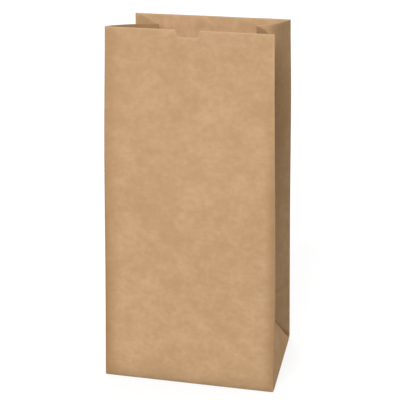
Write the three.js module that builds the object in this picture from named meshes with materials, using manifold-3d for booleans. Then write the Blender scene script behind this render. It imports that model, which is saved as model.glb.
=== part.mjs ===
// Paper yard waste bag: a tall two-ply kraft sack with tucked side gussets and a folded, squared base.
// Millimetres, +Z up. The origin is the middle of the base's underside, and the front panel faces -Y.

import * as THREE from 'three';
import { NURBSCurve } from 'three/addons/curves/NURBSCurve.js';
import { mergeVertices } from 'three/addons/utils/BufferGeometryUtils.js';
import Module from 'manifold-3d';

// The sheet
const PLY = 0.14;
const PLY_COUNT = 2;

// The squared base and the height of the panels
const BASE_WIDTH = 406;
const BASE_DEPTH = 305;
const BAG_HEIGHT = 838;

// The mouth: its right edge is skewed forward and its left edge back, and its middle leans to the front
const RIM_WIDTH = 391;
const RIM_DEPTH = 240;
const RIM_SKEW = 20;
const RIM_LEAN = 10;

// The side gussets: how far each centre fold is tucked in, and where its top end stands in the mouth
const APEX_TUCK = 50;
const LEFT_RIM_TUCK = 102;
const LEFT_FOLD_SETBACK = 4;
const LEFT_FOLD_DROP = 7;
const RIGHT_RIM_TUCK = 75;
const RIGHT_FOLD_SETBACK = -9;
const RIGHT_FOLD_DROP = 2;

// The two slack gusset halves: how far each bends out at the mouth, where along it and how sharply
const LEFT_FRONT_BEND = 26;
const LEFT_FRONT_BEND_PLACE = 0.5;
const LEFT_FRONT_BEND_SHARPNESS = 1;
const RIGHT_BACK_BEND = 22;
const RIGHT_BACK_BEND_PLACE = 0.82;
const RIGHT_BACK_BEND_SHARPNESS = 3;

// The folds: roundness of the upright folds and of the base's edge, and where the slanted creases start
const FOLD_ROUND = 2;
const BASE_ROUND = 1.5;
const CREASE_START = 8;

// The panels: their soft crown, the hollow of the back rim, and the cross crease of the flat-packed bag
const PANEL_CROWN = 8;
const CROWN_RISE = 26;
const CROWN_POWER = 9;
const BACK_RIM_HOLLOW = 2;
const CROSS_CREASE = 1.5;
const CROSS_CREASE_RUN = 14;

// The lap seam down the back panel
const SEAM_LAP = 32;
const SEAM_OFFSET = 62;
const SEAM_EDGE = 0.6;

// The base flaps and the thumb notch
const FLAP_LAP = 32;
const NOTCH_WIDTH = 60;
const NOTCH_DEPTH = 18;
const NOTCH_ROUND = 16;

// Fineness of the skin
const PANEL_STEPS = 14;
const HALF_STEPS = 8;
const ROUND_STEPS = 2;
const NOTCH_STEPS = 8;
const TRIANGLE_STEPS = 6;
const WALL_STEPS = 14;
const CROWDING = 1.5;
const LEAST_STEP = 3;

// Sizes that follow from the driving dimensions
const WALL = PLY * PLY_COUNT;
const FLOOR_UNDERSIDE = 2 * WALL;
const GUSSET_HALF = BASE_DEPTH / 2;
const APEX_HEIGHT = Math.sqrt(GUSSET_HALF ** 2 - APEX_TUCK ** 2);
const CORNER_REACH = FOLD_ROUND + BASE_ROUND;
const SEAM_FROM = 0.5 + (SEAM_OFFSET - SEAM_LAP / 2) / BASE_WIDTH;
const SEAM_TO = 0.5 + (SEAM_OFFSET + SEAM_LAP / 2) / BASE_WIDTH;
const SEAM_RAMP = SEAM_EDGE / BASE_WIDTH;

const TAUT = { depth: 0, place: 0.5, sharpness: 1 };
const LEFT = {
  side: -1,
  tuck: LEFT_RIM_TUCK,
  setback: LEFT_FOLD_SETBACK,
  drop: LEFT_FOLD_DROP,
  front: { depth: LEFT_FRONT_BEND, place: LEFT_FRONT_BEND_PLACE, sharpness: LEFT_FRONT_BEND_SHARPNESS },
  back: TAUT,
};
const RIGHT = {
  side: 1,
  tuck: RIGHT_RIM_TUCK,
  setback: RIGHT_FOLD_SETBACK,
  drop: RIGHT_FOLD_DROP,
  front: TAUT,
  back: { depth: RIGHT_BACK_BEND, place: RIGHT_BACK_BEND_PLACE, sharpness: RIGHT_BACK_BEND_SHARPNESS },
};

const wasm = await Module();
wasm.setup();

const clamp01 = (value) => THREE.MathUtils.clamp(value, 0, 1);
const risen = (z) => clamp01(z / BAG_HEIGHT);
const aboveApex = (z) => clamp01((z - APEX_HEIGHT) / (BAG_HEIGHT - APEX_HEIGHT));
const raised = (point, z) => new THREE.Vector3(point.x, point.y, z);

// One upright edge of the bag, straight from the base corner to the mouth
function cornerAt(side, face, z) {
  const base = new THREE.Vector2(side * BASE_WIDTH / 2, face * BASE_DEPTH / 2);
  const rim = new THREE.Vector2(side * RIM_WIDTH / 2, face * RIM_DEPTH / 2 - side * RIM_SKEW - RIM_LEAN);
  return base.lerp(rim, risen(z));
}

// Soft swell of a panel: flat over the middle, turning in towards the upright folds and the base
function crownAt(share, z) {
  const across = 1 - Math.abs(2 * share - 1) ** CROWN_POWER;
  const upward = (1 - Math.exp(-z / CROWN_RISE)) * (1 - risen(z) ** 2);
  return PANEL_CROWN * across * upward;
}

// Dent of the cross crease, which runs round the back at the height of the gusset's half width
function crossCreaseAt(z) {
  return CROSS_CREASE * clamp01(1 - Math.abs(z - GUSSET_HALF) / CROSS_CREASE_RUN);
}

// What the back panel has besides its crown: the hollow rim and the cross crease
function backHollowAt(share, z) {
  const hollow = BACK_RIM_HOLLOW * (1 - (2 * share - 1) ** 2) * risen(z) ** 2;
  return hollow + crossCreaseAt(z) * (1 - Math.abs(2 * share - 1) ** CROWN_POWER);
}

// Lap seam: one more wall on the outside, with a short ramp at each edge
function seamAt(share) {
  const up = clamp01((share - SEAM_FROM) / SEAM_RAMP);
  const down = clamp01((SEAM_TO - share) / SEAM_RAMP);
  return WALL * Math.min(up, down);
}

// Stations across a panel, closer together towards its upright folds
function panelShares(extra, reach) {
  const shares = [];
  for (let step = 0; step <= PANEL_STEPS; step += 1) {
    shares.push(0.5 - (0.5 - reach) * Math.cos(Math.PI * step / PANEL_STEPS));
  }
  return [...shares, ...extra].sort((a, b) => a - b);
}

const SHARE_REACH = CORNER_REACH / BASE_WIDTH;
const FRONT_SHARES = panelShares([], SHARE_REACH);
const SEAM_SHARES = [SEAM_FROM, SEAM_FROM + SEAM_RAMP, SEAM_TO - SEAM_RAMP, SEAM_TO];
const BACK_SHARES = panelShares(SEAM_SHARES, SHARE_REACH);

// Points across a panel, each pushed out of the straight line between its two corners
function panelLine(from, to, shares, swell, z) {
  const along = to.clone().sub(from);
  const outward = new THREE.Vector2(along.y, -along.x).normalize();
  return shares.map((share) => {
    const point = from.clone().addScaledVector(along, share);
    return raised(point.addScaledVector(outward, swell(share)), z);
  });
}

// Where a gusset's centre fold stands: it starts at the base triangle's tip and runs to the mouth
function foldAt(gusset, z) {
  const apex = new THREE.Vector2(gusset.side * (BASE_WIDTH / 2 - APEX_TUCK), 0);
  const rim = new THREE.Vector2(gusset.side * (BASE_WIDTH / 2 - gusset.tuck), gusset.setback);
  return apex.lerp(rim, aboveApex(z));
}

// Where a base triangle's slanted crease stands at one height below the tip
function creaseAt(gusset, face, z) {
  const start = new THREE.Vector2(gusset.side * BASE_WIDTH / 2, face * (GUSSET_HALF - CREASE_START));
  return start.lerp(foldAt(gusset, z), clamp01(z / APEX_HEIGHT));
}

// Soft bend that leaves its start towards a sharp tip and comes to its end from there
function bendCurve(start, tip, end, sharpness) {
  const weights = [1, sharpness, 1];
  const points = [start, tip, end].map((at, index) => new THREE.Vector4(at.x, at.y, 0, weights[index]));
  return new NURBSCurve(2, [0, 0, 0, 1, 1, 1], points);
}

// One half of a gusset from its corner to its inner end, bent out where the sheet has slack
function halfLine(gusset, face, corner, tip, tipReach, z) {
  const run = tip.clone().sub(corner);
  const outward = new THREE.Vector2(run.y, -run.x).multiplyScalar(-gusset.side * face).normalize();
  const slack = face < 0 ? gusset.front : gusset.back;
  const control = corner.clone().lerp(tip, slack.place);
  control.addScaledVector(outward, slack.depth * aboveApex(z));
  const curve = bendCurve(corner, control, tip, slack.sharpness);
  const dent = face > 0 ? crossCreaseAt(z) : 0;
  const first = CORNER_REACH / run.length();
  const last = 1 - tipReach / run.length();
  const points = [];
  for (let step = 0; step <= HALF_STEPS; step += 1) {
    const share = THREE.MathUtils.lerp(first, last, step / HALF_STEPS);
    const { x, y } = curve.getPointAt(share);
    const point = new THREE.Vector2(x, y).addScaledVector(outward, -dent * Math.sin(Math.PI * share));
    points.push(raised(point, z - gusset.drop * aboveApex(z) * share));
  }
  return points;
}

// Both halves of a gusset from its front corner to its back corner, with the triangle or fold between
function gussetLine(gusset, z) {
  const belowTip = z < APEX_HEIGHT;
  const [front, back] = [-1, 1].map((face) => {
    const tip = belowTip ? creaseAt(gusset, face, z) : foldAt(gusset, z);
    const corner = cornerAt(gusset.side, face, z);
    return { tip, line: halfLine(gusset, face, corner, tip, belowTip ? 0 : FOLD_ROUND, z) };
  });
  const tip = front.tip.clone().lerp(back.tip, 0.5);
  const between = roundedTip(front.line.at(-1), raised(tip, front.line.at(-1).z), back.line.at(-1));
  return [...front.line, between, ...back.line.reverse()];
}

// Middle of the small round that replaces a sharp fold
function roundedTip(before, tip, after) {
  return new THREE.QuadraticBezierCurve3(before, tip, after).getPoint(0.5);
}

// Closed outline of the bag at one height, anticlockwise seen from above
function outlineAt(z, withSeam) {
  const corner = (side, face) => cornerAt(side, face, z);
  const frontSwell = (share) => crownAt(share, z);
  const backSwell = (share) => crownAt(share, z) - backHollowAt(share, z) + (withSeam ? seamAt(share) : 0);
  const runs = [
    panelLine(corner(-1, -1), corner(1, -1), FRONT_SHARES, frontSwell, z),
    gussetLine(RIGHT, z),
    panelLine(corner(1, 1), corner(-1, 1), BACK_SHARES, backSwell, z),
    gussetLine(LEFT, z).reverse(),
  ];
  const tips = [corner(1, -1), corner(1, 1), corner(-1, 1), corner(-1, -1)];
  return runs.flatMap((run, index) => {
    const next = runs[(index + 1) % runs.length];
    return [...run, roundedTip(run.at(-1), raised(tips[index], z), next[0])];
  });
}

// The same outline drawn in by a distance, each corner moved along its mitre
function drawnIn(outline, distance) {
  const count = outline.length;
  const leftOf = (from, to) => new THREE.Vector2(from.y - to.y, to.x - from.x).normalize();
  return outline.map((point, index) => {
    const before = leftOf(outline[(index + count - 1) % count], point);
    const after = leftOf(point, outline[(index + 1) % count]);
    const mitre = before.clone().add(after).normalize();
    const reach = distance / mitre.dot(after);
    return new THREE.Vector3(point.x + mitre.x * reach, point.y + mitre.y * reach, point.z);
  });
}

// Heights of the outlines above the base's rounded edge
function wallHeights() {
  const heights = [GUSSET_HALF - CROSS_CREASE_RUN, GUSSET_HALF, GUSSET_HALF + CROSS_CREASE_RUN];
  const lowest = FLOOR_UNDERSIDE + BASE_ROUND;
  for (let step = 1; step <= TRIANGLE_STEPS; step += 1) {
    heights.push(THREE.MathUtils.lerp(lowest, APEX_HEIGHT, (step / TRIANGLE_STEPS) ** CROWDING));
  }
  for (let step = 1; step <= WALL_STEPS; step += 1) {
    heights.push(THREE.MathUtils.lerp(APEX_HEIGHT, BAG_HEIGHT, step / WALL_STEPS));
  }
  heights.sort((a, b) => a - b);
  const isKept = (z, index) => z === BAG_HEIGHT || heights[index + 1] - z > LEAST_STEP;
  return heights.filter(isKept);
}

// Stack of outlines of one skin: the rounded edge of the base first, then the walls up to the mouth
function skinOutlines(inset, withSeam) {
  const round = BASE_ROUND - inset;
  const floor = FLOOR_UNDERSIDE + inset;
  const outlines = [];
  for (let step = 0; step <= ROUND_STEPS; step += 1) {
    const turn = Math.PI / 2 * step / ROUND_STEPS;
    const z = floor + round * (1 - Math.cos(turn));
    outlines.push(drawnIn(outlineAt(z, withSeam), inset + round * (1 - Math.sin(turn))));
  }
  return [...outlines, ...wallHeights().map((z) => drawnIn(outlineAt(z, withSeam), inset))];
}

// One wall of paper: outer skin, inner skin, the cut edge of the mouth and the floor
function paperShell() {
  const outer = skinOutlines(0, true);
  const inner = skinOutlines(WALL, false);
  const count = outer[0].length;
  const vertices = [...outer, ...inner].flat();
  const firstInner = outer.length;
  const at = (row, column) => row * count + column % count;
  const triangles = [];
  const quad = (a, b, c, d) => triangles.push(a, b, c, a, c, d);
  for (let column = 0; column < count; column += 1) {
    for (let row = 0; row < outer.length - 1; row += 1) {
      const inside = firstInner + row;
      quad(at(row, column), at(row, column + 1), at(row + 1, column + 1), at(row + 1, column));
      quad(at(inside, column + 1), at(inside, column), at(inside + 1, column), at(inside + 1, column + 1));
    }
    const top = outer.length - 1;
    const innerTop = firstInner + top;
    quad(at(top, column), at(top, column + 1), at(innerTop, column + 1), at(innerTop, column));
  }
  for (const [a, b, c] of THREE.ShapeUtils.triangulateShape(outer[0], [])) {
    triangles.push(at(0, c), at(0, b), at(0, a));
  }
  for (const [a, b, c] of THREE.ShapeUtils.triangulateShape(inner[0], [])) {
    triangles.push(at(firstInner, a), at(firstInner, b), at(firstInner, c));
  }
  const geometry = new THREE.BufferGeometry().setFromPoints(vertices);
  return geometry.setIndex(triangles);
}

// One base flap: long edge on the base fold, sides folded in at 45 degrees, raw edge past the middle
function baseFlap(face, underside) {
  const foldLine = face * (BASE_DEPTH / 2 - BASE_ROUND);
  const halfFold = BASE_WIDTH / 2 - BASE_ROUND;
  const reach = Math.min(GUSSET_HALF - BASE_ROUND + FLAP_LAP / 2, halfFold);
  const halfEdge = halfFold - reach;
  const rawLine = foldLine - face * reach;
  const outline = [
    new THREE.Vector2(-halfFold, foldLine),
    new THREE.Vector2(halfFold, foldLine),
    new THREE.Vector2(halfEdge, rawLine),
  ];
  if (halfEdge > 0) {
    outline.push(new THREE.Vector2(-halfEdge, rawLine));
  }
  const depth = FLOOR_UNDERSIDE + WALL / 2 - underside;
  const flap = new THREE.ExtrudeGeometry(new THREE.Shape(outline), { depth, bevelEnabled: false });
  return flap.translate(0, 0, underside);
}

// Cutter of the thumb notch: a flat-bottomed dip with round lower corners, from mid-mouth out to the front
function notchCutter() {
  const half = NOTCH_WIDTH / 2;
  const round = Math.min(NOTCH_ROUND, NOTCH_DEPTH, half);
  const bottom = BAG_HEIGHT - NOTCH_DEPTH;
  const above = BAG_HEIGHT + NOTCH_DEPTH;
  const dip = new THREE.Shape();
  dip.moveTo(half, above);
  dip.lineTo(-half, above);
  dip.lineTo(-half, bottom + round);
  dip.absarc(-half + round, bottom + round, round, Math.PI, 1.5 * Math.PI, false);
  dip.lineTo(half - round, bottom);
  dip.absarc(half - round, bottom + round, round, 1.5 * Math.PI, 2 * Math.PI, false);
  const throughFront = { depth: RIM_DEPTH, bevelEnabled: false, curveSegments: NOTCH_STEPS };
  const cutter = new THREE.ExtrudeGeometry(dip, throughFront);
  return cutter.rotateX(Math.PI / 2).translate(0, -RIM_LEAN, 0);
}

// Closed geometry to a solid that can be joined and cut
function toSolid(geometry) {
  geometry.deleteAttribute('normal');
  geometry.deleteAttribute('uv');
  const merged = mergeVertices(geometry);
  const vertProperties = new Float32Array(merged.getAttribute('position').array);
  const triVerts = new Uint32Array(merged.getIndex().array);
  return new wasm.Manifold(new wasm.Mesh({ numProp: 3, vertProperties, triVerts }));
}

function toGeometry(solid) {
  const mesh = solid.getMesh();
  const geometry = new THREE.BufferGeometry();
  geometry.setAttribute('position', new THREE.BufferAttribute(mesh.vertProperties, mesh.numProp));
  geometry.setIndex(new THREE.BufferAttribute(mesh.triVerts, 1));
  geometry.computeVertexNormals();
  return geometry;
}

const frontFlap = toSolid(baseFlap(-1, WALL));
const backFlap = toSolid(baseFlap(1, 0));
const bag = toSolid(paperShell()).add(frontFlap).add(backFlap).subtract(toSolid(notchCutter()));

const kraftPaper = new THREE.MeshStandardMaterial({ color: 0xc7a17a, roughness: 0.9, metalness: 0 });
const paperBag = new THREE.Mesh(toGeometry(bag), kraftPaper);
paperBag.name = 'paper_bag';

const part = new THREE.Group();
part.add(paperBag);

export default part;
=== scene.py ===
"""Looks of the paper yard waste bag: one folded sheet of kraft, its finish and a plain studio."""

import logging
import math
from dataclasses import dataclass, field
from enum import Enum
from functools import cached_property, partial, reduce
from itertools import accumulate

import bmesh
import bpy
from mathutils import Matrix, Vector, noise


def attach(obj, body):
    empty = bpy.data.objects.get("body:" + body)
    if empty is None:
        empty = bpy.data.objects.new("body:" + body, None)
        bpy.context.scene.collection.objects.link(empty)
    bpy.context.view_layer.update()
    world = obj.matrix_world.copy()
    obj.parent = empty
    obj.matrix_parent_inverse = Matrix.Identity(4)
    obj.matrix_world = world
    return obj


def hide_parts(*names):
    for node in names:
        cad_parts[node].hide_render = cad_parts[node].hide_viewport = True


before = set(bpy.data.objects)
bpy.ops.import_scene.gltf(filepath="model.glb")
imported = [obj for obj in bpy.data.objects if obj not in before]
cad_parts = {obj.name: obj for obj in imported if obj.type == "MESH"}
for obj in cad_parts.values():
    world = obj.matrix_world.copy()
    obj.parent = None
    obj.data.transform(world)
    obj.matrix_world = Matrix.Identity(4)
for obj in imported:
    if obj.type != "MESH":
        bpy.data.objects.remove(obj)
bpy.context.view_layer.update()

LOG = logging.getLogger("paper_bag")
MM = 0.001
BAG_NODE = "paper_bag"
BAG_BODY = "root"

Triple = tuple[float, float, float]
Colour = Triple
Range = tuple[float, float]
Mesh = bmesh.types.BMesh
Node = bpy.types.Node
Socket = bpy.types.NodeSocket


class Face(Enum):
    """The two broad sides of the bag, by the sign of their Y."""

    FRONT = -1
    BACK = 1


class Side(Enum):
    """The two gusseted sides of the bag, by the sign of their X."""

    LEFT = -1
    RIGHT = 1


class WearAndShade(Enum):
    """Point attributes that the finish reads, by the place on the sheet that they mark: rubbing,
    paleness with a painted highlight, a darker foot and painted shade.
    """

    FOLD = "fold_wear"
    # painted shade on the rolled panel edges and in the deep tucks
    ROLL = "roll_shade"
    # paleness beside the cut edges, partly a painted highlight where they catch the light
    CUT = "cut_edge"
    # darker along the foot of the walls
    FOOT = "foot_darkening"
    # painted shade in the narrow pockets behind the front panel
    POCKET = "pocket_shade"


def clamp(value: float) -> float:
    """Value held between 0 and 1."""
    return min(max(value, 0.0), 1.0)


def smooth(value: float) -> float:
    """Value held between 0 and 1 and eased at both ends."""
    held = clamp(value)
    return held * held * (3.0 - 2.0 * held)


def ramp(value: float, start: float, run: float) -> float:
    """Eased rise from 0 at start to 1 one run later."""
    return smooth((value - start) / run)


def lerp(start: float, end: float, share: float) -> float:
    """Number between start and end."""
    return start + (end - start) * share


def evenly(start: float, end: float, step: float) -> list[float]:
    """Numbers from start up to but not including end, spaced by about step."""
    count = max(1, round((end - start) / step))
    return [lerp(start, end, index / count) for index in range(count)]


def crowded(count: int) -> list[float]:
    """Shares from 0 to 1, closer together towards both ends."""
    return [0.5 - 0.5 * math.cos(math.pi * index / count) for index in range(count + 1)]


def bend(start: Vector, control: Vector, end: Vector, share: float, sharpness: float = 1.0) -> Vector:
    """Point on a conic from start to end, which comes closer to its control with more sharpness."""
    weights = ((1 - share) ** 2, 2 * sharpness * share * (1 - share), share ** 2)
    return (start * weights[0] + control * weights[1] + end * weights[2]) / sum(weights)


def lengths(points: list[Vector]) -> list[float]:
    """Way along a line of points up to each of them."""
    steps = ((after - before).length for before, after in zip(points, points[1:]))
    return list(accumulate(steps, initial=0.0))


def spread(points: list[Vector], shares: list[float]) -> list[Vector]:
    """Points at given shares of the length of a line.

    Args:
        points: Line of close points.
        shares: Rising shares of its length, from 0 to 1.

    Returns:
        One point for each share.
    """
    ways = lengths(points)
    found = []
    index = 0
    for share in shares:
        way = share * ways[-1]
        while index < len(points) - 2 and ways[index + 1] < way:
            index += 1
        step = (way - ways[index]) / (ways[index + 1] - ways[index])
        found.append(points[index].lerp(points[index + 1], step))
    return found


def add_sheet(mesh: Mesh, steps: tuple[int, int], ends: Range, half_widths: Range, z: float) -> None:
    """Adds a flat sheet with four straight edges, whose outer side looks at the ground.

    Args:
        mesh: Mesh that takes the sheet.
        steps: Numbers of faces across the sheet and along it.
        ends: Y of the sheet's first and last edge.
        half_widths: Half lengths of these two edges.
        z: Height above the ground.
    """
    made = bmesh.ops.create_grid(mesh, x_segments=steps[0], y_segments=steps[1], size=1)
    for vert in made["verts"]:
        share = (vert.co.y + 1) / 2
        vert.co = Vector((vert.co.x * lerp(*half_widths, share), lerp(*ends, share), z))
    mesh.normal_update()
    faces = {face for vert in made["verts"] for face in vert.link_faces}
    bmesh.ops.reverse_faces(mesh, faces=[face for face in faces if face.normal.z > 0])


def placed(name: str, mesh: Mesh) -> bpy.types.Object:
    """Turns a finished mesh into an object at the origin.

    Args:
        name: Name of the object and of its mesh.
        mesh: Mesh, which is freed.

    Returns:
        The new object in the scene.
    """
    data = bpy.data.meshes.new(name)
    mesh.to_mesh(data)
    mesh.free()
    made = bpy.data.objects.new(name, data)
    bpy.context.scene.collection.objects.link(made)
    return made


@dataclass(frozen=True)
class PaperSheet:
    """The two-ply kraft sheet that the bag is folded from."""

    ply: float = 0.14 * MM
    plies: int = 2
    lap_clearance: float = 0.03 * MM

    @property
    def wall(self) -> float:
        """Thickness of all plies."""
        return self.ply * self.plies


@dataclass(frozen=True)
class FoldDrift:
    """How one upright fold stands off its squared place, how its fold is rubbed and how much painted
    shade darkens its rolled panel edge, in pairs from base to rim.
    """

    outward: Range = (0.0, 0.0)
    belly: float = 0.0
    belly_rise: float = 1.0
    forward: float = 0.0
    # dark, dark_run, dark_fade and dark_fall: painted shade on the rolled panel edge beside the fold
    dark: Range = (0.0, 0.0)
    dark_run: Range = (32 * MM, 18 * MM)
    dark_fade: Range = (0.45, 0.5)
    dark_fall: float = 1.3
    rubbed: Range = (0.3, 0.3)

    def out(self, risen: float) -> float:
        """Distance out to the side at one share of the bag's height."""
        swell = math.sin(math.pi * risen ** self.belly_rise) ** 2
        return lerp(*self.outward, risen) + self.belly * swell

    def shade(self, risen: float, gap: float) -> float:
        """Painted shade on the rolled panel edge at a share of the height and a gap from the fold."""
        reach = clamp(1 - gap / lerp(*self.dark_run, risen))
        return lerp(*self.dark, ramp(risen, *self.dark_fade)) * reach ** self.dark_fall


def opened_folds() -> dict[tuple[Side, Face], FoldDrift]:
    """Drift of the four upright folds, as the bag was pulled open by hand.

    Returns:
        One drift for each fold, in their order round the bag from the back left one.
    """
    # each dark pair sets the painted shade on the rolled panel edge beside its fold, from base to rim
    return {
        (Side.LEFT, Face.BACK): FoldDrift(),
        (Side.LEFT, Face.FRONT): FoldDrift(
            outward=(2.2 * MM, 1.9 * MM), belly=2.0 * MM, belly_rise=1.7, forward=2.2 * MM,
            dark=(0.92, 0.36), dark_run=(42 * MM, 60 * MM), dark_fade=(0.1, 0.7), rubbed=(0.0, 0.0),
        ),
        (Side.RIGHT, Face.FRONT): FoldDrift(
            outward=(6.0 * MM, -2.4 * MM), belly=4.0 * MM, belly_rise=0.65, forward=5.5 * MM,
            dark=(0.72, 0.0), rubbed=(1.2, 2.2),
        ),
        (Side.RIGHT, Face.BACK): FoldDrift(
            outward=(2.4 * MM, -1.7 * MM), belly=1.7 * MM, belly_rise=2.6, rubbed=(0.3, 0.8),
        ),
    }


@dataclass(frozen=True)
class BagForm:
    """Driving sizes of the opened bag and the lines that its upright folds follow."""

    base_width: float = 406 * MM
    base_depth: float = 305 * MM
    height: float = 838 * MM
    rim_width: float = 391 * MM
    rim_depth: float = 240 * MM
    rim_skew: float = 20 * MM
    rim_lean: float = 10 * MM
    apex_tuck: float = 50 * MM
    fold_round: float = 2 * MM
    base_round: float = 1.5 * MM
    cross_crease: float = 1.5 * MM
    cross_crease_run: float = 14 * MM
    crease_start: float = 4.5 * MM
    crease_sink: float = 1.7 * MM
    corner_sink: float = 12 * MM
    sink_start: float = 5 * MM
    corner_sink_rise: float = 21 * MM
    sink_fade: Range = (0.75, 0.35)
    sink_run_above: float = 12 * MM
    sink_run_below: float = 2.2 * MM
    drifts: dict[tuple[Side, Face], FoldDrift] = field(default_factory=opened_folds)
    sheet: PaperSheet = field(default_factory=PaperSheet)

    @property
    def floor_underside(self) -> float:
        """Height of the floor above the ground: the two base flaps lie under it."""
        return 2 * self.sheet.wall

    @property
    def gusset_half(self) -> float:
        """Width of one gusset half in the flat sheet."""
        return self.base_depth / 2

    @property
    def apex_height(self) -> float:
        """Height of the base triangle's tip."""
        return math.sqrt(self.gusset_half ** 2 - self.apex_tuck ** 2)

    @property
    def corner_reach(self) -> float:
        """How far from an upright fold a panel starts to be flat."""
        return self.fold_round + self.base_round

    @property
    def corner_share(self) -> float:
        """The same as a share of a panel's width."""
        return self.corner_reach / self.base_width

    def risen(self, z: float) -> float:
        """Share of the bag's height."""
        return clamp(z / self.height)

    def above_apex(self, z: float) -> float:
        """Share of the height between the base triangle's tip and the mouth."""
        return clamp((z - self.apex_height) / (self.height - self.apex_height))

    def corner(self, side: Side, face: Face, z: float) -> Vector:
        """Place of one upright fold at one height.

        Args:
            side: Left or right.
            face: Front or back.
            z: Height above the ground.

        Returns:
            The point of the fold.
        """
        base = Vector((side.value * self.base_width / 2, face.value * self.base_depth / 2, z))
        rim_y = face.value * self.rim_depth / 2 - side.value * self.rim_skew - self.rim_lean
        rim = Vector((side.value * self.rim_width / 2, rim_y, z))
        point = base.lerp(rim, self.risen(z))
        drift = self.drifts[side, face]
        point.x += side.value * drift.out(self.risen(z))
        point.y -= drift.forward * (1 - self.risen(z))
        return point

    def tucked(self, side: Side, tuck: float) -> float:
        """Place across the bag of a fold that is tucked in from one side of the base."""
        return side.value * (self.base_width / 2 - tuck)

    def cross_dent(self, z: float) -> float:
        """Depth of the cross crease that flat packing leaves round the back."""
        return self.cross_crease * smooth(1 - abs(z - self.gusset_half) / self.cross_crease_run)

    def sink(self, z: float) -> float:
        """Depth of the slanted creases: most beside the base corners, none above the triangle's tip."""
        depth = self.crease_sink + self.corner_sink * math.exp(-z / self.corner_sink_rise)
        return depth * smooth(z / self.sink_start) * (1 - ramp(z / self.apex_height, *self.sink_fade))

    def drawn_in(self, point: Vector, distance: float) -> Vector:
        """Point of the base outline moved inwards, by one distance on all four sides."""
        x_share, y_share = (1 - 2 * distance / size for size in (self.base_width, self.base_depth))
        return Vector((point.x * x_share, point.y * y_share, point.z))


@dataclass(frozen=True)
class Blank:
    """Columns of the flat blank, from the back panel's inner end round to its outer end."""

    panel_steps: int = 25
    notch_steps: int = 34
    corner_steps: int = 6
    half_steps: int = 30
    middle_steps: int = 12

    @cached_property
    def crowd(self) -> list[float]:
        """Shares across one end of a panel, closer together towards its fold."""
        turns = (math.pi / 2 * index / self.panel_steps for index in range(self.panel_steps + 1))
        return [1 - math.cos(turn) for turn in turns]

    @cached_property
    def starts(self) -> list[int]:
        """First columns of the left gusset, the front panel, the right gusset and the outer end."""
        gusset = 2 * (self.half_steps + 1) + self.middle_steps - 1
        front = 2 * self.panel_steps + self.notch_steps + 1
        starts = [self.panel_steps + self.corner_steps]
        for run in (gusset, front, gusset):
            starts.append(starts[-1] + run + self.corner_steps - 1)
        return starts

    @cached_property
    def uprights(self) -> list[int]:
        """Columns on the four upright folds, from the back left one round to the back right one."""
        return [start - self.corner_steps // 2 for start in self.starts]

    @cached_property
    def creases(self) -> list[tuple[int, int]]:
        """Columns on the two slanted creases of each triangle, which run on in the centre folds."""
        tips = [start + self.half_steps for start in (self.starts[0], self.starts[2])]
        return [(tip, tip + self.middle_steps) for tip in tips]

    @cached_property
    def folds(self) -> list[int]:
        """Columns on the upright folds, the slanted creases and the centre folds."""
        return [*self.uprights, *(column for pair in self.creases for column in pair)]

    def on_back(self, column: int) -> bool:
        """Whether a column lies on one of the back panel's two ends."""
        return column < self.starts[0] - self.corner_steps or column >= self.starts[-1]

    @cached_property
    def pockets(self) -> dict[Side, range]:
        """Columns in the two narrow pockets behind the front panel."""
        left, front, right, _ = self.starts
        middle = self.half_steps + self.middle_steps // 2
        return {
            Side.LEFT: range(left + middle, front - self.corner_steps),
            Side.RIGHT: range(right, right + middle),
        }


@dataclass(frozen=True)
class ThumbNotch:
    """Flat-bottomed dip with round lower corners in the middle of the front rim."""

    form: BagForm
    width: float = 60 * MM
    depth: float = 16 * MM
    corner_round: float = 10 * MM
    flare: float = 2 * MM
    blend: float = 60 * MM

    @property
    def start(self) -> float:
        """Height at which the sheet's upright lines start to bend towards the notch."""
        return self.form.height - self.blend

    def shaped(self, x: float, z: float) -> tuple[float, float]:
        """Moves a point of the uncut panel to its place below the cut rim.

        Args:
            x: Place across the panel, from its middle.
            z: Height in the uncut panel.

        Returns:
            The new place across and the new height.
        """
        half = self.width / 2
        if abs(x) >= half or z <= self.start:
            return x, z
        share = (z - self.start) / self.blend
        cut_x, cut_depth = self._edge_point(abs(x) / half)
        new_x = lerp(abs(x), cut_x, share ** 2)
        return math.copysign(new_x, x), z - cut_depth * share

    def _edge_point(self, share: float) -> tuple[float, float]:
        """Point on one half of the cut edge.

        Args:
            share: Place along the edge, from 0 at the middle to 1 at the lip.

        Returns:
            The point's distance from the middle and its depth below the rim.
        """
        flat = self.width / 2 - self.flare - self.corner_round
        arc = self.corner_round * math.pi / 2
        lip_drop = self.depth - self.corner_round
        lip = math.hypot(self.flare, lip_drop)
        run = share * (flat + arc + lip)
        if run <= flat:
            return run, self.depth
        if run <= flat + arc:
            turn = (run - flat) / self.corner_round
            raised = self.corner_round * (1 - math.cos(turn))
            return flat + self.corner_round * math.sin(turn), self.depth - raised
        left_over = (flat + arc + lip - run) / lip
        return self.width / 2 - self.flare * left_over, lip_drop * left_over


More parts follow.
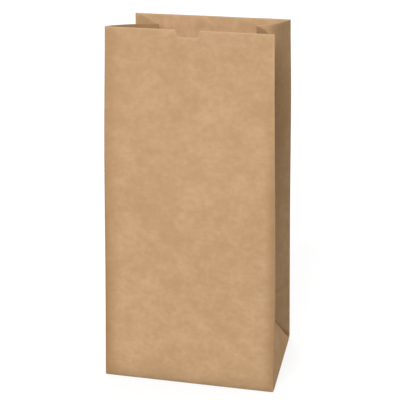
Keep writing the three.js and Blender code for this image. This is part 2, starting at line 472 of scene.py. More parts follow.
@dataclass(frozen=True)
class Panel:
    """A broad panel with its soft crown, between two upright folds."""

    form: BagForm
    face: Face
    crown: float = 8 * MM
    crown_rise: float = 26 * MM
    crown_power: float = 9.0
    crown_fade: Range = (0.5, 0.45)
    has_cross_crease: bool = False

    def point(self, share: float, z: float, lift: float = 0.0) -> Vector:
        """Point of the panel's outer skin.

        Args:
            share: Place across the panel, anticlockwise seen from above, from 0 to 1.
            z: Height above the ground.
            lift: How far the point stands off the panel.

        Returns:
            The point, pushed out of the straight line between the two folds.
        """
        form = self.form
        first, last = (Side.LEFT, Side.RIGHT) if self.face is Face.FRONT else (Side.RIGHT, Side.LEFT)
        start = form.corner(first, self.face, z)
        along = form.corner(last, self.face, z) - start
        outward = Vector((along.y, -along.x, 0)).normalized()
        from_base = 1 - math.exp(-z / self.crown_rise)
        to_mouth = 1 - ramp(form.risen(z), *self.crown_fade)
        dent = form.cross_dent(z) if self.has_cross_crease else 0.0
        across = 1 - abs(2 * share - 1) ** self.crown_power
        swell = (self.crown * from_base * to_mouth - dent) * across
        return start + along * share + outward * (swell + lift)


@dataclass(frozen=True)
class Slack:
    """Bend of the loose paper in one gusset half, with a hook that is full a seventh of the way in."""

    depth: float = 0.0
    place: float = 0.5
    sharpness: float = 1.0
    hook: float = 0.0
    hook_fall: int = 6
    hook_scale: float = 17.6


@dataclass(frozen=True)
class Gusset:
    """A tucked side: two halves, the base triangle below and the centre fold above it."""

    form: BagForm
    blank: Blank
    side: Side
    rim_tuck: float
    setback: float
    drop: float
    slack: dict[Face, Slack]
    # pocket_shade, recess_shade and the recess and mouth fields below set painted shade in the pocket
    # and in the hollow of each half
    pocket_shade: float = 1.0
    recess_shade: float = 0.4
    recess_rise: Range = (0.3, 0.4)
    recess_reach: float = 0.9
    mouth_reach: float = 0.58
    mouth_share: float = 0.55
    mouth_run: float = 85 * MM
    fine_steps: int = 90

    def line(self, z: float) -> list[Vector]:
        """Points of the gusset at one height.

        Args:
            z: Height above the ground.

        Returns:
            The points from the front fold to the back fold.
        """
        front = self._half(Face.FRONT, z)
        back = self._half(Face.BACK, z)
        tip = self._tip(Face.FRONT, z).lerp(self._tip(Face.BACK, z), 0.5)
        tip.z = front[-1].z
        shares = crowded(self.blank.middle_steps)[1:-1]
        middle = [bend(front[-1], tip, back[-1], share) for share in shares]
        return [*front, *middle, *reversed(back)]

    def recess(self, inward: float, z: float) -> float:
        """Painted shade in the hollow of a half, where the tuck is deep, and less of it beside the
        mouth.

        Args:
            inward: Share of the way from an upright fold in to the centre fold.
            z: Height above the ground.

        Returns:
            A share from 0 to 1, none below the height where the tuck starts to be deep.
        """
        deep = ramp(self.form.risen(z), *self.recess_rise)
        below_mouth = smooth((self.form.height - z) / self.mouth_run)
        reach = lerp(self.mouth_reach, self.recess_reach, below_mouth)
        across = math.sin(math.pi * clamp(inward / reach))
        return self.recess_shade * across * deep * lerp(self.mouth_share, 1.0, below_mouth)

    def _tip(self, face: Face, z: float) -> Vector:
        """Inner end of one half.

        Args:
            face: The front or the back half.
            z: Height above the ground.

        Returns:
            A point on the slanted crease, or on the centre fold above it.
        """
        form = self.form
        apex = Vector((form.tucked(self.side, form.apex_tuck), 0, z))
        rim = Vector((form.tucked(self.side, self.rim_tuck), self.setback, z))
        fold = apex.lerp(rim, form.above_apex(z))
        start = form.corner(self.side, face, 0.0)
        start.y -= face.value * form.crease_start
        start.z = z
        return start.lerp(fold, clamp(z / form.apex_height))

    def _half(self, face: Face, z: float) -> list[Vector]:
        """Points of one half from its upright fold to its inner end.

        Args:
            face: The front or the back half.
            z: Height above the ground.

        Returns:
            The points, bent where the skewed mouth leaves the sheet slack.
        """
        corner = self.form.corner(self.side, face, z)
        tip = self._tip(face, z)
        run = tip - corner
        outward = Vector((run.y, -run.x, 0)) * -self.side.value * face.value
        outward.normalize()
        above = self.form.above_apex(z)
        slack = self.slack[face]
        control = corner.lerp(tip, slack.place) + outward * slack.depth * above
        fine = [index / self.fine_steps for index in range(self.fine_steps + 1)]
        path = [bend(corner, control, tip, share, slack.sharpness) for share in fine]
        first = self.form.corner_reach / run.length
        tip_reach = self.form.fold_round if z >= self.form.apex_height else 0.0
        last = 1 - tip_reach / run.length
        shares = [lerp(first, last, step) for step in crowded(self.blank.half_steps)]
        dent = self.form.cross_dent(z) if face is Face.BACK else 0.0
        points = []
        for share, point in zip(shares, spread(path, shares)):
            hook = slack.hook * slack.hook_scale * share * (1 - share) ** slack.hook_fall
            point -= outward * (dent * math.sin(math.pi * share) + hook * above)
            point.z -= self.drop * above * share
            points.append(point)
        return points


@dataclass(frozen=True)
class LapSeam:
    """The long glued lap on the back panel, where the sheet's two edges meet."""

    form: BagForm
    lap: float = 32 * MM
    offset: float = 62 * MM
    step_run: float = 2.5 * MM
    climb_steps: int = 4

    @property
    def inner_share(self) -> float:
        """Place of the inner raw edge across the back panel."""
        return 0.5 + (self.offset - self.lap / 2) / self.form.base_width

    def shares(self) -> list[float]:
        """Places across the back panel that the outer layer needs to climb over the inner edge.

        Returns:
            The places from the foot of the climb to the outer raw edge.
        """
        inner = self.inner_share
        outer = inner + self.lap / self.form.base_width
        climb = self.step_run / self.form.base_width
        up = evenly(inner - climb, inner, climb / self.climb_steps)
        return [*up, *evenly(inner, outer, climb), outer]

    def lift(self, share: float) -> float:
        """How far the outer layer stands off the panel at one place across it."""
        run = (share - self.inner_share) * self.form.base_width / self.step_run
        return (self.form.sheet.wall + self.form.sheet.lap_clearance) * smooth(run + 1)


@dataclass(frozen=True)
class BaseFlap:
    """One glued base flap: long edge on the base fold, sides at 45 degrees, raw edge past the middle."""

    form: BagForm
    face: Face
    lap: float = 32 * MM
    steps: tuple[int, int] = (32, 14)

    def add_to(self, mesh: Mesh, underside: float) -> None:
        """Adds the flap's lower skin to the bag's mesh.

        Args:
            mesh: Mesh that takes the flap.
            underside: Height of the flap's lower skin.
        """
        form = self.form
        fold_y = self.face.value * (form.base_depth / 2 - form.base_round)
        half_fold = form.base_width / 2 - form.base_round
        reach = form.gusset_half - form.base_round + self.lap / 2
        ends = (fold_y, fold_y - self.face.value * reach)
        add_sheet(mesh, self.steps, ends, (half_fold, half_fold - reach), underside)


@dataclass(frozen=True)
class Waves:
    """Smooth random waves of one depth and length."""

    depth: float
    length: float
    shift: Triple = (0, 0, 0)

    def at(self, place: Vector) -> float:
        """Displacement at one point."""
        return self.depth * noise.noise(place / self.length + Vector(self.shift))


@dataclass(frozen=True)
class Ripple:
    """Waves, puckers and crumples that a handled sheet keeps between its folds."""

    form: BagForm
    slow: Waves = Waves(1.0 * MM, 170 * MM)
    fine: Waves = Waves(0.35 * MM, 62 * MM, (7, 3, 5))
    upright_squeeze: float = 0.6
    free_run: float = 70 * MM
    foot_run: float = 90 * MM
    mouth_calm: float = 0.6
    mouth_rise: Range = (0.8, 0.2)
    pucker: Waves = Waves(1.6 * MM, 30 * MM, (2, 9, 4))
    pucker_reach: float = 55 * MM
    crumple: Waves = Waves(1.8 * MM, 21 * MM, (5, 1, 8))
    crumple_reach: float = 60 * MM

    def push(self, place: Vector, fold_gap: float, is_crumpled: bool) -> float:
        """Displacement of one point along the sheet's normal.

        Args:
            place: Point on the sheet.
            fold_gap: Distance to the nearest fold, which holds the sheet still.
            is_crumpled: Whether a hand has crumpled the point's panel beside the mouth.

        Returns:
            Slow waves that die out at the base, puckers round the tips of the two triangles, where
            three folds meet, and crumples.
        """
        form = self.form
        foot = smooth(place.z / self.foot_run)
        mouth = 1 - self.mouth_calm * ramp(form.risen(place.z), *self.mouth_rise)
        squeezed = Vector((place.x, place.y, place.z * self.upright_squeeze))
        waves = self.slow.at(squeezed) + self.fine.at(squeezed)
        push = waves * smooth(fold_gap / self.free_run) * foot * mouth
        for side in Side:
            apex = Vector((form.tucked(side, form.apex_tuck), 0, form.apex_height))
            near = math.exp(-((place - apex).length / self.pucker_reach) ** 2)
            push += self.pucker.at(place) * near * foot
        if is_crumpled:
            near = math.exp(-((form.height - place.z) / self.crumple_reach) ** 2)
            push += self.crumple.at(place) * near * smooth(fold_gap / self.crumple.length)
        return push


@dataclass(frozen=True)
class Spot:
    """One point of the folded sheet, with the cross line of the blank that it lies in."""

    form: BagForm
    blank: Blank
    gussets: dict[Side, Gusset]
    line: list[Vector]
    rim: list[Vector]
    ways: list[float]
    column: int
    # fold_wear_run and crease_rub set the rubbed folds, cut_run and seam_paleness the pale edges with
    # their painted highlight, foot_run the darker foot and pocket_run the painted shade in the pockets
    fold_wear_run: float = 2.5 * MM
    crease_rub: float = 0.35
    cut_run: float = 2.4 * MM
    seam_paleness: float = 0.3
    foot_run: float = 6 * MM
    pocket_run: float = 160 * MM

    @property
    def place(self) -> Vector:
        """The point itself."""
        return self.line[self.column]

    @property
    def wear_and_shade(self) -> dict[WearAndShade, float]:
        """Marks that the finish reads, each a share from 0 to about 1: rubbing, paleness with a painted
        highlight, a darker foot and painted shade.
        """
        return {
            WearAndShade.FOLD: self._fold_rub,
            WearAndShade.ROLL: self._roll_shade,
            WearAndShade.CUT: self._cut_edge,
            # darker along the foot of the walls
            WearAndShade.FOOT: math.exp(-max(self.place.z, 0.0) / self.foot_run),
            WearAndShade.POCKET: self._pocket_shade,
        }

    @property
    def fold_gap(self) -> float:
        """Way along the sheet to the nearest fold."""
        return min(self._gap(fold) for fold in self.blank.folds)

    @property
    def crease_sink(self) -> float:
        """How far the point sinks in beside a slanted crease, more steeply on the triangle's side."""
        depth = self.form.sink(self.place.z)
        if depth == 0:
            return 0.0
        shares = []
        for first, last in self.blank.creases:
            if first < self.column < last:
                gap = min(self._gap(first), self._gap(last))
                shares.append(math.exp(-gap / self.form.sink_run_below))
                continue
            crease = first if self.column <= first else last
            gap = self._gap(crease)
            width = min(abs(self.ways[crease] - self.ways[fold]) for fold in self.blank.uprights)
            shares.append(math.exp(-gap / self.form.sink_run_above) * clamp(1 - gap / width))
        return depth * max(shares)

    def _gap(self, column: int) -> float:
        """Way along the sheet to another column."""
        return abs(self.ways[self.column] - self.ways[column])

    @property
    def _fold_rub(self) -> float:
        """Paleness on and beside the rubbed folds."""
        risen = self.form.risen(self.place.z)
        uprights = zip(self.blank.uprights, self.form.drifts.values())
        rubs = [(fold, lerp(*drift.rubbed, risen)) for fold, drift in uprights]
        rubs += [(fold, self.crease_rub) for pair in self.blank.creases for fold in pair]
        return max(rub * math.exp(-self._gap(fold) / self.fold_wear_run) for fold, rub in rubs)

    @property
    def _roll_shade(self) -> float:
        """Painted shade in the rolled edges of the panels and in the deep tucks."""
        risen = self.form.risen(self.place.z)
        uprights = self.blank.uprights
        drifts = zip(uprights, self.form.drifts.values())
        shades = [drift.shade(risen, self._gap(fold)) for fold, drift in drifts]
        for gusset, (first, last) in zip(self.gussets.values(), (uprights[:2], uprights[2:])):
            if first < self.column < last:
                way_in = min(self._gap(first), self._gap(last))
                shades.append(gusset.recess(clamp(way_in / self.form.gusset_half), self.place.z))
        return max(shades)

    @property
    def _cut_edge(self) -> float:
        """Paleness beside the cut rim and, more faintly, beside the lap's raw edges: partly the raw
        edges' own paleness, partly a painted highlight where they catch the light.
        """
        rim_gap = (self.place - self.rim[self.column]).length
        seam_gap = min((self.place - self.line[end]).length for end in (0, -1))
        seam = self.seam_paleness * math.exp(-seam_gap / self.cut_run)
        return max(math.exp(-rim_gap / self.cut_run), seam)

    @property
    def _pocket_shade(self) -> float:
        """Painted shade in the two narrow pockets, which the light hardly reaches."""
        pockets = self.blank.pockets.items()
        shade = sum(self.gussets[side].pocket_shade for side, run in pockets if self.column in run)
        return shade * math.exp((self.place.z - self.form.height) / self.pocket_run)


class NodeBench:
    """Places and links the nodes of one shader tree."""

    NOISE_ROUGHNESS = 0.55
    MIX_COLOURS = slice(6, 8)
    MIX_RESULT = 2

    def __init__(self, tree: bpy.types.ShaderNodeTree) -> None:
        """Clears the tree."""
        self.tree = tree
        tree.nodes.clear()

    def add(self, kind: str, *values: object, **named: object) -> Node:
        """Adds a node.

        Args:
            kind: Name of the node's type, without its ShaderNode prefix.
            *values: Sockets or plain values for the first inputs.
            **named: Properties of the node, then inputs, whose names have capitals, and underscores
                for spaces.

        Returns:
            The new node.
        """
        node = self.tree.nodes.new(f"ShaderNode{kind}")
        for name, value in named.items():
            if name.islower():
                setattr(node, name, value)
            else:
                self.put(node.inputs[name.replace("_", " ")], value)
        for socket, value in zip(node.inputs, values):
            self.put(socket, value)
        return node

    def put(self, socket: Socket, value: object) -> None:
        """Links an input to another socket, or sets its number, vector or colour.

        Args:
            socket: Input of a node.
            value: Socket to link from, or a plain value, with no alpha in a colour.
        """
        if isinstance(value, Socket):
            self.tree.links.new(value, socket)
        else:
            socket.default_value = (*value, 1) if socket.type == "RGBA" else value

    def math(self, operation: str, *values: object) -> Socket:
        """Result of an operation on sockets or numbers."""
        return self.add("Math", *values, operation=operation).outputs[0]

    def chain(self, operation: str, *values: object) -> Socket:
        """Result of an operation on two values, then on that and the next one, and so on."""
        return reduce(partial(self.math, operation), values)

    def vector_math(self, operation: str, *values: object) -> Node:
        """Node with the result of an operation on vectors."""
        return self.add("VectorMath", *values, operation=operation)

    def weighted(self, masks: list[Socket], weights: tuple[float, ...]) -> Socket:
        """Sum of masks, each times its weight."""
        parts = [self.math("MULTIPLY", mask, weight) for mask, weight in zip(masks, weights)]
        return self.chain("ADD", *parts)

    def noise(self, vector: Socket, size: float, detail: float) -> Socket:
        """Cloudy mask whose patches have about one size, in metres."""
        sizes = {"Scale": 1 / size, "Detail": detail, "Roughness": self.NOISE_ROUGHNESS}
        return self.add("TexNoise", vector, **sizes).outputs["Fac"]

    def stretched(self, vector: Socket, scale: Triple, turn: Triple = (0, 0, 0)) -> Socket:
        """Coordinates turned and then scaled apart along their axes."""
        node = self.add("Mapping", vector, vector_type="TEXTURE", Scale=scale, Rotation=turn)
        return node.outputs["Vector"]

    def ranged(self, value: Socket, limits: Range) -> Socket:
        """Mask that rises from 0 at the first limit to 1 at the second."""
        node = self.add("MapRange", value, *limits, interpolation_type="SMOOTHSTEP")
        return node.outputs["Result"]

    def mix(self, factor: Socket, first: object, second: object) -> Socket:
        """Colour between two colours.

        Args:
            factor: Mask.
            first: Colour at 0.
            second: Colour at 1.

        Returns:
            The mixed colour.
        """
        node = self.add("Mix", factor, data_type="RGBA")
        for socket, colour in zip(node.inputs[self.MIX_COLOURS], (first, second)):
            self.put(socket, colour)
        return node.outputs[self.MIX_RESULT]


@dataclass(frozen=True)
class WornAndShadedTone:
    """Colour that one mark mixes into the sheet's own: rubbing, paleness, a darker foot, painted shade
    and painted highlight.
    """

    wear_and_shade: WearAndShade
    tone: Colour
    strength: float = 1.0


@dataclass(frozen=True)
class KraftFinish:
    """Uncoated kraft: cloudy formation, short fibres, bark flecks, rubbed folds, pale cut edges with a
    painted highlight, and painted shade on rolled edges, tucks and pockets.
    """

    name: str = "kraft_paper"
    tone: Colour = (0.57, 0.36, 0.195)
    pale_tint: Colour = (1.10, 1.125, 1.17)
    dark_tint: Colour = (0.90, 0.875, 0.83)
    inner_tint: Colour = (0.975, 1.005, 1.05)
    cloud_sizes: Triple = (95 * MM, 34 * MM, 11 * MM)
    cloud_weights: Triple = (0.2, 0.38, 0.3)
    cloud_stretch: Triple = (1.22, 1.22, 1.0)
    cloud_limits: Range = (0.32, 0.68)
    streak_stretch: Triple = (2.2 * MM, 2.2 * MM, 180 * MM)
    streak_weight: float = 0.04
    fibre_tone: Colour = (0.66, 0.45, 0.27)
    fibre_strength: float = 0.16
    fibre_stretch: Triple = (0.45 * MM, 0.45 * MM, 2.6 * MM)
    fibre_lean: float = math.radians(28)
    fibre_limits: Range = (0.52, 0.78)
    fleck_tone: Colour = (0.26, 0.15, 0.07)
    fleck_strength: float = 0.55
    fleck_stretch: Triple = (9 * MM, 9 * MM, 16.2 * MM)
    fleck_limits: Range = (0.075, 0.03)
    fleck_chance: Range = (0.45, 0.6)
    # painted shade on the rolled panel edges and in the deep tucks
    roll: WornAndShadedTone = WornAndShadedTone(WearAndShade.ROLL, (0.36, 0.195, 0.085))
    # darker along the foot of the walls
    darker_foot: WornAndShadedTone = WornAndShadedTone(WearAndShade.FOOT, (0.40, 0.25, 0.12), 0.25)
    rub: WornAndShadedTone = WornAndShadedTone(WearAndShade.FOLD, (0.70, 0.48, 0.29), 0.38)
    # pale cut edges, partly a painted highlight where they catch the light
    cut: WornAndShadedTone = WornAndShadedTone(WearAndShade.CUT, (0.70, 0.49, 0.31), 0.75)
    # painted shade in the narrow pockets behind the front panel
    pocket: WornAndShadedTone = WornAndShadedTone(WearAndShade.POCKET, (0.27, 0.11, 0.025), 0.48)
    wear_least: float = 0.6
    wear_swing: float = 0.5
    roughness: float = 0.84
    roughness_swing: float = 0.1
    specular: float = 0.06
    cockle_size: float = 6 * MM
    relief_weights: Triple = (0.6, 0.8, 0.9)
    bump_strength: float = 0.35
    bump_depth: float = 0.25 * MM

    def material(self) -> bpy.types.Material:
        """Makes the kraft material.

        Returns:
            The material with colour, roughness and relief from its nodes.
        """
        material = bpy.data.materials.new(self.name)
        material.use_nodes = True
        tree = KraftTree(material.node_tree, self)
        shader = tree.add(
            "BsdfPrincipled",
            Base_Color=tree.colour,
            Roughness=tree.math("MULTIPLY_ADD", tree.fibres, self.roughness_swing, self.roughness),
            Specular_IOR_Level=self.specular,
            Normal=tree.normal,
        )
        tree.add("OutputMaterial", shader.outputs["BSDF"])
        return material

    def tinted(self, tint: Colour) -> Colour:
        """The sheet's tone made darker or lighter, with one factor for each channel."""
        return tuple(channel * factor for channel, factor in zip(self.tone, tint))


class KraftTree(NodeBench):
    """Nodes of the kraft finish, on the sheet's own object coordinates."""

    def __init__(self, tree: bpy.types.ShaderNodeTree, finish: KraftFinish) -> None:
        """Clears the tree and takes the finish that it shows."""
        super().__init__(tree)
        self.finish = finish

    @cached_property
    def place(self) -> Socket:
        """Object coordinates."""
        return self.add("TexCoord").outputs["Object"]

    @cached_property
    def colour(self) -> Socket:
        """Colour of the sheet with rubbed folds, pale cut edges with a painted highlight, a darker foot,
        a cooler tint on the inner skin, and painted shade on rolled edges, tucks and pockets.
        """
        kraft = self.finish
        outer = self.math("SUBTRACT", 1.0, self.inner)
        uneven = self.math("MULTIPLY_ADD", self.fibres, kraft.wear_swing, kraft.wear_least)
        # painted shade on the outer skin's rolled edges and deep tucks
        colour = self.overlaid(self.sheet, kraft.roll, outer)
        # darker along the foot of the walls
        colour = self.overlaid(colour, kraft.darker_foot, uneven)
        colour = self.overlaid(colour, kraft.rub, uneven)
        # pale cut edges, partly a painted highlight
        colour = self.overlaid(colour, kraft.cut)
        tinted = self.vector_math("MULTIPLY", colour, kraft.inner_tint).outputs["Vector"]
        colour = self.mix(self.inner, colour, tinted)
        # painted shade in the pockets, on the inner skin only
        return self.overlaid(colour, kraft.pocket, self.inner)

    @cached_property
    def sheet(self) -> Socket:
        """Colour of the untouched sheet."""
        kraft = self.finish
        fibres = self.math("MULTIPLY", self.fibres, kraft.fibre_strength)
        flecks = self.math("MULTIPLY", self.flecks, kraft.fleck_strength)
        colour = self.mix(self.clouds, kraft.tinted(kraft.dark_tint), kraft.tinted(kraft.pale_tint))
        return self.mix(flecks, self.mix(fibres, colour, kraft.fibre_tone), kraft.fleck_tone)

    @cached_property
    def clouds(self) -> Socket:
        """Uneven formation from dark to pale: clouds of three sizes and faint upright streaks."""
        kraft = self.finish
        broad, middle, small = kraft.cloud_sizes
        wide = self.stretched(self.place, kraft.cloud_stretch)
        masks = [
            self.noise(self.place, broad, detail=2),
            self.noise(wide, middle, detail=3),
            self.noise(wide, small, detail=3),
            self.noise(self.stretched(self.place, kraft.streak_stretch), 1.0, detail=2),
        ]
        total = self.weighted(masks, (*kraft.cloud_weights, kraft.streak_weight))
        return self.ranged(total, kraft.cloud_limits)

    @cached_property
    def fibres(self) -> Socket:
        """Short fibres in three directions, mostly upright as the sheet left its wire."""
        kraft = self.finish
        layers = []
        for lean in (0.0, kraft.fibre_lean, -kraft.fibre_lean):
            leaning = self.stretched(self.place, kraft.fibre_stretch, (lean, lean, 0))
            layers.append(self.noise(leaning, 1.0, detail=1))
        return self.ranged(self.chain("MAXIMUM", *layers), kraft.fibre_limits)

    @cached_property
    def flecks(self) -> Socket:
        """Sparse dark flecks of bark in some of the cells of a random pattern."""
        kraft = self.finish
        cells = self.add("TexVoronoi", self.stretched(self.place, kraft.fleck_stretch), Scale=1.0)
        spot = self.ranged(cells.outputs["Distance"], kraft.fleck_limits)
        draw = self.add("SeparateColor", cells.outputs["Color"]).outputs["Red"]
        return self.math("MULTIPLY", spot, self.ranged(draw, kraft.fleck_chance))

    @cached_property
    def inner(self) -> Socket:
        """Mask of the inner ply, which looks back at the bag's upright axis."""
        normal = self.add("TexCoord").outputs["Normal"]
        level = self.vector_math("MULTIPLY", normal, (1, 1, 0)).outputs["Vector"]
        outward = self.vector_math("DOT_PRODUCT", level, self.place).outputs["Value"]
        return self.math("LESS_THAN", outward, 0.0)

    @cached_property
    def normal(self) -> Socket:
        """Normal with the fine relief of fibres, formation and cockle."""
        kraft = self.finish
        cockle = self.noise(self.place, kraft.cockle_size, detail=2)
        height = self.weighted([self.fibres, self.clouds, cockle], kraft.relief_weights)
        bump = self.add("Bump", Strength=kraft.bump_strength, Distance=kraft.bump_depth, Height=height)
        return bump.outputs["Normal"]

    def overlaid(self, colour: Socket, overlay: WornAndShadedTone, *masks: Socket) -> Socket:
        """Colour with one mark on it (rubbing, paleness, a darker foot, painted shade, painted
        highlight), where all masks let it through.
        """
        mark = self.add("Attribute", attribute_name=overlay.wear_and_shade.value).outputs["Fac"]
        return self.mix(self.chain("MULTIPLY", mark, overlay.strength, *masks), colour, overlay.tone)


@dataclass
class PaperBag:
    """The whole bag: a flat blank of kraft, folded up into walls, gussets and base."""

    form: BagForm
    finish: KraftFinish
    blank: Blank = field(default_factory=Blank)
    hem: float = 14 * MM
    wall_step: float = 9 * MM
    base_step: float = 6 * MM
    crease_step: float = 2.8 * MM
    rim_step: float = 5 * MM
    rim_band: float = 4 * MM
    edge_step: float = 1 * MM
    round_steps: int = 5
    hem_steps: int = 3
    floor_steps: tuple[int, int] = (40, 30)

    def __post_init__(self) -> None:
        """Makes the forms that the blank is folded to."""
        form = self.form
        self.front = Panel(form, Face.FRONT, crown=9.5 * MM, crown_rise=20 * MM, crown_power=13.0)
        self.back = Panel(form, Face.BACK, has_cross_crease=True)
        left = Gusset(
            form, self.blank, Side.LEFT, rim_tuck=102 * MM, setback=4 * MM, drop=7 * MM,
            slack={
                Face.FRONT: Slack(depth=26 * MM),
                Face.BACK: Slack(depth=-11 * MM, place=0.25, sharpness=1.6),
            },
        )
        right = Gusset(
            form, self.blank, Side.RIGHT, rim_tuck=75 * MM, setback=-9 * MM, drop=2 * MM,
            slack={
                Face.FRONT: Slack(hook=8 * MM),
                Face.BACK: Slack(depth=24 * MM, place=0.7, sharpness=3.0),
            },
            pocket_shade=0.7,
        )
        self.gussets = {gusset.side: gusset for gusset in (left, right)}
        self.notch = ThumbNotch(form)
        self.seam = LapSeam(form)
        self.ripple = Ripple(form)
        self.flaps = {face: BaseFlap(form, face) for face in Face}

    def build(self) -> bpy.types.Object:
        """Folds the blank, adds floor and flaps, and gives the paper its thickness.

        Returns:
            The bag as one object at the origin.
        """
        mesh = bmesh.new()
        self._fold_blank(mesh)
        self._add_floor(mesh)
        self.flaps[Face.FRONT].add_to(mesh, self.form.sheet.wall)
        self.flaps[Face.BACK].add_to(mesh, 0.0)
        for face in mesh.faces:
            face.smooth = True
        for edge in mesh.edges:
            edge.smooth = not edge.is_boundary
        bag = placed("folded_bag", mesh)
        paper = bag.modifiers.new("paper_thickness", "SOLIDIFY")
        paper.thickness = self.form.sheet.wall
        paper.offset = -1
        return bag

    def dress(self, bag: bpy.types.Object) -> None:
        """Gives the bag its finish and ties it to the frame.

        Args:
            bag: The folded bag.
        """
        bag.data.materials.append(self.finish.material())
        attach(bag, BAG_BODY)
        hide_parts(BAG_NODE)

    def _fold_blank(self, mesh: Mesh) -> None:
        """Makes the flat blank, moves each of its points to its folded place and marks its rubbing,
        paleness, darker foot and painted shade.

        Args:
            mesh: Empty mesh that takes the blank.
        """
        layers = {wear_and_shade: mesh.verts.layers.float.new(wear_and_shade.value) for wear_and_shade in WearAndShade}
        lines = [self._outline(z, inset) for z, inset in self._levels()]
        ways = [lengths(line) for line in lines]
        columns = len(lines[0])
        rows = len(lines)
        bmesh.ops.create_grid(mesh, x_segments=columns - 1, y_segments=rows - 1, size=1)
        for vert in mesh.verts:
            column = round((vert.co.x + 1) / 2 * (columns - 1))
            row = round((vert.co.y + 1) / 2 * (rows - 1))
            vert.co = lines[row][column]
            vert.index = row * columns + column
        mesh.normal_update()
        normals = {vert.index: vert.normal.copy() for vert in mesh.verts}
        for vert in mesh.verts:
            row, column = divmod(vert.index, columns)
            spot = Spot(self.form, self.blank, self.gussets, lines[row], lines[-1], ways[row], column)
            for wear_and_shade, share in spot.wear_and_shade.items():
                vert[layers[wear_and_shade]] = share
            push = self.ripple.push(spot.place, spot.fold_gap, self.blank.on_back(column))
            vert.co += normals[vert.index] * (push - spot.crease_sink)

    def _levels(self) -> list[tuple[float, float]]:
        """Heights of the blank's cross lines and how far each is drawn in under the base.

        Returns:
            Pairs of height and inset, from the hem under the floor up to the mouth.
        """
        form = self.form
        floor = form.floor_underside
        insets = evenly(self.hem, form.base_round, self.hem / self.hem_steps)
        levels = [(floor, inset) for inset in insets]
        for step in range(self.round_steps):
            turn = math.pi / 2 * step / self.round_steps
            height = floor + form.base_round * (1 - math.cos(turn))
            levels.append((height, form.base_round * (1 - math.sin(turn))))
        bands = [
            (floor + form.base_round, self.base_step),
            (form.gusset_half - form.cross_crease_run, self.crease_step),
            (form.apex_height, self.crease_step),
            (form.gusset_half + form.cross_crease_run, self.wall_step),
            (self.notch.start, self.rim_step),
            (form.height - self.rim_band, self.edge_step),
        ]
        ends = [*(start for start, _ in bands[1:]), form.height]
        for (start, step), end in zip(bands, ends):
            levels.extend((height, 0.0) for height in evenly(start, end, step))
        return [*levels, (form.height, 0.0)]

    def _outline(self, z: float, inset: float) -> list[Vector]:
        """Open outline of the sheet at one height, from its inner raw edge round to its outer one.

        Args:
            z: Height above the ground.
            inset: How far the line is drawn in under the base.

        Returns:
            The points, anticlockwise seen from above.
        """
        points = self._back_start(z)
        runs = [
            list(reversed(self.gussets[Side.LEFT].line(z))),
            self._front_line(z),
            self.gussets[Side.RIGHT].line(z),
            self._back_end(z),
        ]
        shares = [index / self.blank.corner_steps for index in range(1, self.blank.corner_steps)]
        for (side, face), run in zip(self.form.drifts, runs):
            start = points[-1]
            tip = self.form.corner(side, face, z)
            points.extend(bend(start, tip, run[0], share) for share in shares)
            points.extend(run)
        return [self.form.drawn_in(point, inset) for point in points]

    def _front_line(self, z: float) -> list[Vector]:
        """Points across the front panel, with the upright lines bent round the thumb notch.

        Args:
            z: Height above the ground.

        Returns:
            The points from the left fold to the right one.
        """
        lip = 0.5 - self.notch.width / 2 / self.form.base_width
        left = [lerp(self.form.corner_share, lip, share) for share in self.blank.crowd[:-1]]
        steps = self.blank.notch_steps
        middle = [lerp(lip, 1 - lip, index / steps) for index in range(steps)]
        right = [1 - share for share in (lip, *reversed(left))]
        points = []
        for share in (*left, *middle, *right):
            across = (share - 0.5) * self.form.base_width
            new_across, new_z = self.notch.shaped(across, z)
            point = self.front.point(0.5 + new_across / self.form.base_width, z)
            point.z = new_z
            points.append(point)
        return points

    def _back_start(self, z: float) -> list[Vector]:
        """Points of the back panel's inner end, from its raw edge to the left fold."""
        raw, fold = self.seam.inner_share, 1 - self.form.corner_share
        return [self.back.point(lerp(fold, raw, share), z) for share in reversed(self.blank.crowd)]

    def _back_end(self, z: float) -> list[Vector]:
        """Points of the back panel's outer end, which climbs over the inner one.

        Args:
            z: Height above the ground.

        Returns:
            The points from the right fold to the raw edge.
        """
        lap = self.seam.shares()
        plain = [lerp(self.form.corner_share, lap[0], share) for share in self.blank.crowd[:-1]]
        return [self.back.point(share, z, self.seam.lift(share)) for share in (*plain, *lap)]

    def _add_floor(self, mesh: Mesh) -> None:
        """Adds the floor that lies on the hem of the walls.

        Args:
            mesh: Mesh that takes the floor.
        """
        form = self.form
        inset = form.base_round + form.sheet.wall
        half_width = form.base_width / 2 - inset
        half_depth = form.base_depth / 2 - inset
        z = form.floor_underside + form.sheet.wall + form.sheet.lap_clearance
        add_sheet(mesh, self.floor_steps, (-half_depth, half_depth), (half_width, half_width), z)


@dataclass(frozen=True, kw_only=True)
class Stand:
    """Place that a lamp or the camera looks from, in degrees from the front and from level."""

    name: str
    azimuth: float
    elevation: float
    distance: float = 4.0
    target: Triple = (0.0, 0.0, 0.0)

    def hold(self, data: bpy.types.ID) -> bpy.types.Object:
        """Adds an object that looks at the target.

        Args:
            data: Lamp or camera.

        Returns:
            The new object.
        """
        turn = math.radians(self.azimuth)
        rise = math.radians(self.elevation)
        level = math.cos(rise)
        away = Vector((math.sin(turn) * level, -math.cos(turn) * level, math.sin(rise)))
        made = bpy.data.objects.new(self.name, data)
        made.location = Vector(self.target) + away * self.distance
        made.rotation_euler = (-away).to_track_quat("-Z", "Y").to_euler()
        bpy.context.scene.collection.objects.link(made)
        return made


@dataclass(frozen=True, kw_only=True)
class EvenLight(Stand):
    """Large far lamp: parallel light with soft shadows, the same at the bag's foot and at its mouth."""

    spread: float = 30.0
    strength: float

    def switch_on(self) -> None:
        """Adds the lamp and aims it at the bag."""
        data = bpy.data.lights.new(self.name, "SUN")
        data.energy = self.strength
        data.angle = math.radians(self.spread)
        self.hold(data)


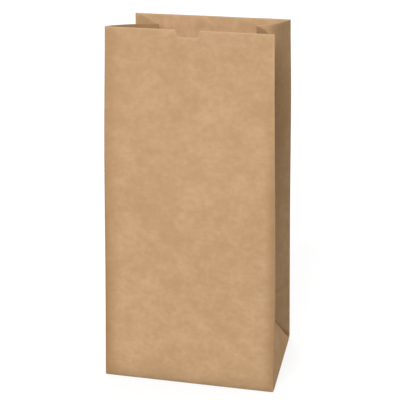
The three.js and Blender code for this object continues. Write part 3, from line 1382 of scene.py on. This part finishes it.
@dataclass(frozen=True)
class Studio:
    """Plain pale floor, white surround and soft lamps."""

    lamps: tuple[EvenLight, ...] = (
        EvenLight(name="front_light", azimuth=-10.0, elevation=35.0, strength=2.8),
        EvenLight(name="side_light", azimuth=115.0, elevation=45.0, strength=0.9),
        EvenLight(name="back_light", azimuth=205.0, elevation=40.0, strength=1.1),
    )
    floor_half: float = 20.0
    floor_pale: float = 0.1
    floor_seen: float = 0.22
    floor_glow: float = 0.79
    surround: float = 0.4
    seen_rays: tuple[str, ...] = ("Camera", "Glossy", "Transmission")

    def build(self) -> None:
        """Adds the floor, the surround and the lamps."""
        bpy.context.scene.view_settings.view_transform = "Standard"
        self._floor()
        self._surround()
        for lamp in self.lamps:
            lamp.switch_on()

    def _seen_directly(self, bench: NodeBench) -> Socket:
        """Mask of the rays that show the background: from the camera, a mirror or a glass."""
        path = bench.add("LightPath").outputs
        return bench.chain("MAXIMUM", *(path[f"Is {kind} Ray"] for kind in self.seen_rays))

    def _floor(self) -> None:
        """Adds a wide floor."""
        mesh = bmesh.new()
        bmesh.ops.create_grid(mesh, x_segments=1, y_segments=1, size=self.floor_half)
        floor = placed("studio_floor", mesh)
        floor.data.materials.append(self._floor_material())

    def _floor_material(self) -> bpy.types.Material:
        """Makes a floor that is white to the eye and keeps the bag's soft shadow.

        Returns:
            The material.
        """
        material = bpy.data.materials.new("studio_floor")
        material.use_nodes = True
        bench = NodeBench(material.node_tree)
        seen = self._seen_directly(bench)
        colour = bench.mix(seen, (self.floor_pale,) * 3, (self.floor_seen,) * 3)
        matt = bench.add("BsdfDiffuse", colour)
        glow = bench.add("Emission", (1, 1, 1), bench.math("MULTIPLY", seen, self.floor_glow))
        both = bench.add("AddShader", matt.outputs[0], glow.outputs[0])
        bench.add("OutputMaterial", both.outputs[0])
        return material

    def _surround(self) -> None:
        """Makes the world white to the eye and a dim soft light for the bag."""
        world = bpy.data.worlds.new("studio_surround")
        world.use_nodes = True
        bench = NodeBench(world.node_tree)
        strength = bench.math("MAXIMUM", self._seen_directly(bench), self.surround)
        background = bench.add("Background", (1, 1, 1), strength)
        bench.add("OutputWorld", background.outputs[0])
        bpy.context.scene.world = world


@dataclass(frozen=True, kw_only=True)
class PhotoCamera(Stand):
    """Camera at the photograph's viewing angle."""

    name: str = "photo_camera"
    azimuth: float = 12.612
    elevation: float = 17.794
    distance: float = 2.4384
    target: Triple = (-0.0035, 0.0, 0.4112)
    lens: float = 90.928
    sensor: float = 36.0

    def place(self) -> bpy.types.Object:
        """Adds the camera and makes it the scene's own.

        Returns:
            The camera object.
        """
        data = bpy.data.cameras.new(self.name)
        data.lens = self.lens
        data.sensor_width = self.sensor
        camera = self.hold(data)
        bpy.context.scene.camera = camera
        return camera


def main() -> None:
    """Builds the camera, the bag and the studio, and reports each piece."""
    logging.basicConfig(level=logging.INFO, format="%(name)s: %(message)s")
    camera = PhotoCamera().place()
    LOG.info("%s at %s", camera.name, tuple(camera.location))
    bag = PaperBag(BagForm(), KraftFinish())
    folded = bag.build()
    bag.dress(folded)
    LOG.info("%s: %d faces before the paper's thickness", folded.name, len(folded.data.polygons))
    Studio().build()


if __name__ == "__main__":
    main()
